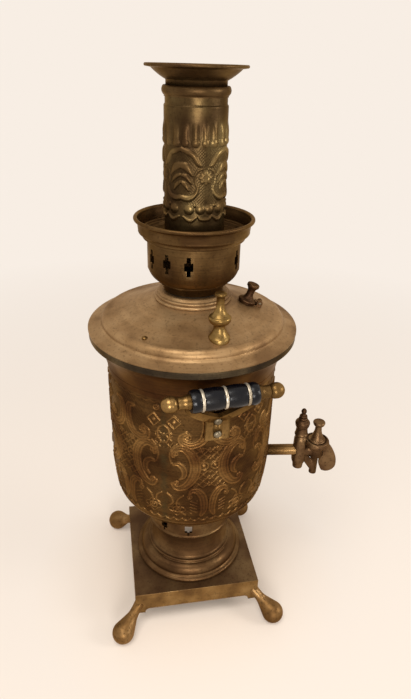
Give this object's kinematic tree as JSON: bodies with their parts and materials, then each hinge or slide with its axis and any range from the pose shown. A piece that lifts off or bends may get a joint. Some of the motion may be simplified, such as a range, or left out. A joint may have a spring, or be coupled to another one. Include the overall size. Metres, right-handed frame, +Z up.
{
  "type": "charcoal samovar",
  "caption": "Tall brass samovar with a square footed base, vase-shaped urn, lift-off lid, pierced crown bowl, chimney pipe, side grips and a quarter-turn tap.",
  "frame": {"origin": "on the urn's vertical axis at floor level, under the centre of the square base", "axes": "+Z up, tap towards -Y (the front), grips on the left and right (X), the base's sides along X and Y"},
  "size_m": [0.2418, 0.2766, 0.5916],
  "materials": {
    "spun_brass": "worn polish",
    "embossed_brass": "hammered relief with darkened ground",
    "cast_brass": "cast, half polished",
    "rim_band": "dark tarnish",
    "tap_brass": "cast and tarnished",
    "handle_brass": "worn",
    "handle_grip": "ebonised and varnished",
    "fire_iron": "fire blackened",
    "fixings": "dull"
  },
  "bodies": {
    "stand_and_urn": {"base_plate": "spun_brass", "foot_rear_right": "cast_brass", "foot_rear_left": "cast_brass", "foot_front_left": "cast_brass", "foot_front_right": "cast_brass", "foot_nuts": "fixings", "pedestal": "embossed_brass", "pedestal_screws": "fixings", "vent_collar": "spun_brass", "body_shell": "embossed_brass", "body_rim": "rim_band", "fire_tube": "fire_iron", "grate": "fire_iron", "left_handle_bracket": "handle_brass", "left_handle_rod": "handle_brass", "left_handle_grip": "handle_grip", "left_handle_bands": "handle_brass", "left_handle_ferrules": "handle_brass", "left_handle_balls": "handle_brass", "right_handle_bracket": "handle_brass", "right_handle_rod": "handle_brass", "right_handle_grip": "handle_grip", "right_handle_bands": "handle_brass", "right_handle_ferrules": "handle_brass", "right_handle_balls": "handle_brass", "handle_screws": "fixings", "handle_nuts": "fixings", "tap_pipe": "tap_brass", "tap_washer": "fixings", "tap_lock_nut": "fixings", "tap_body": "tap_brass", "tap_finial": "tap_brass", "tap_grub_screw": "fixings"},
    "lid": {"lid": "embossed_brass", "lid_collar": "spun_brass", "lid_knob_left": "spun_brass", "lid_knob_right": "spun_brass", "lid_knob_nuts": "fixings", "lid_rivet": "spun_brass", "vent_seat": "spun_brass", "vent_hinge_pin": "fixings"},
    "vent_cap": {"vent_cap": "spun_brass"},
    "crown": {"crown_seat": "spun_brass", "crown_drum": "embossed_brass", "crown_rivets": "spun_brass", "crown_bowl": "embossed_brass", "chimney_socket": "spun_brass"},
    "chimney": {"chimney_tube": "embossed_brass", "chimney_bead": "spun_brass", "chimney_cap": "embossed_brass"},
    "tap_key": {"tap_key": "tap_brass", "tap_knob": "tap_brass", "tap_lever": "tap_brass"}
  },
  "joints": [
    {"name": "lid_lift", "type": "slide", "parent": "stand_and_urn", "child": "lid", "axis": [0, 0, 1], "range_m": [0, 0.06]},
    {"name": "vent_cap_hinge", "type": "hinge", "parent": "lid", "child": "vent_cap", "pos_m": [-0.0124, -0.06564, 0.38124], "axis": [0.9826, -0.1857, 0], "range_deg": [0, 95]},
    {"name": "crown_lift", "type": "slide", "parent": "lid", "child": "crown", "axis": [0, 0, 1], "range_m": [0, 0.06]},
    {"name": "chimney_lift", "type": "slide", "parent": "crown", "child": "chimney", "axis": [0, 0, 1], "range_m": [0, 0.07]},
    {"name": "tap_key_turn", "type": "hinge", "parent": "stand_and_urn", "child": "tap_key", "pos_m": [-0.01787, -0.14551, 0.1995], "axis": [0, 0, -1], "range_deg": [0, 90]}
  ]
}
